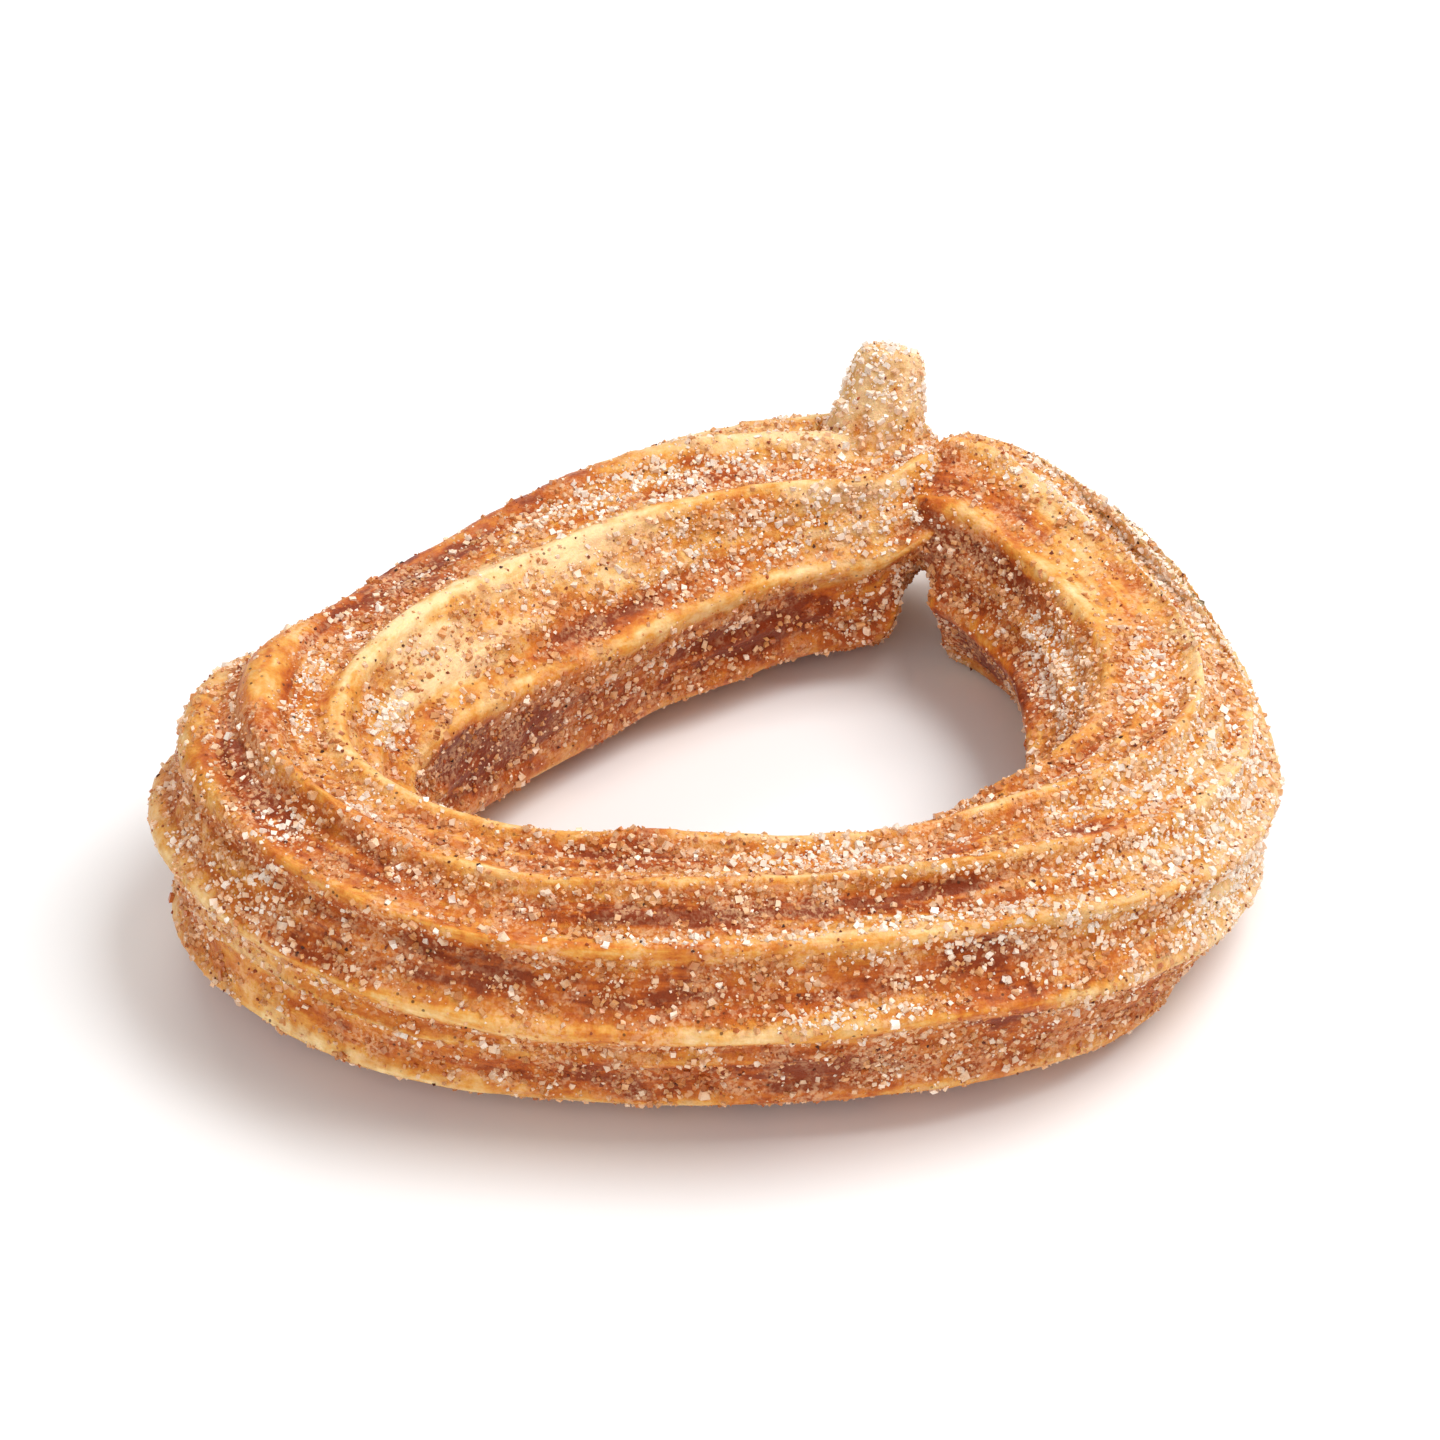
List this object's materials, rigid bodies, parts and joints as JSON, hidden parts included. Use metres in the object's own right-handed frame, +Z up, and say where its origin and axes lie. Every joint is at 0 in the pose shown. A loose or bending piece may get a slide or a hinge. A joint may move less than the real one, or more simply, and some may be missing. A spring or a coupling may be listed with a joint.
{
  "type": "loop churro",
  "caption": "Loop churro: a ridged strand of fried dough closed into a rounded triangle, with a V notch at the seam, a short tail and a sugar coating.",
  "frame": {"origin": "centre of the bounding box on the surface that the churro lies on", "axes": "+Z up, +X across the loop's longest extent, +Y towards the seam"},
  "size_m": [0.0772, 0.0682, 0.0218],
  "materials": {
    "crust": "golden fried dough, browner in the grooves, satin",
    "sugar": "sugar crystals tinted by cinnamon, sparkling",
    "cinnamon": "dark brown ground cinnamon, matt"
  },
  "bodies": {
    "root": {"churro": "crust"}
  },
  "joints": []
}
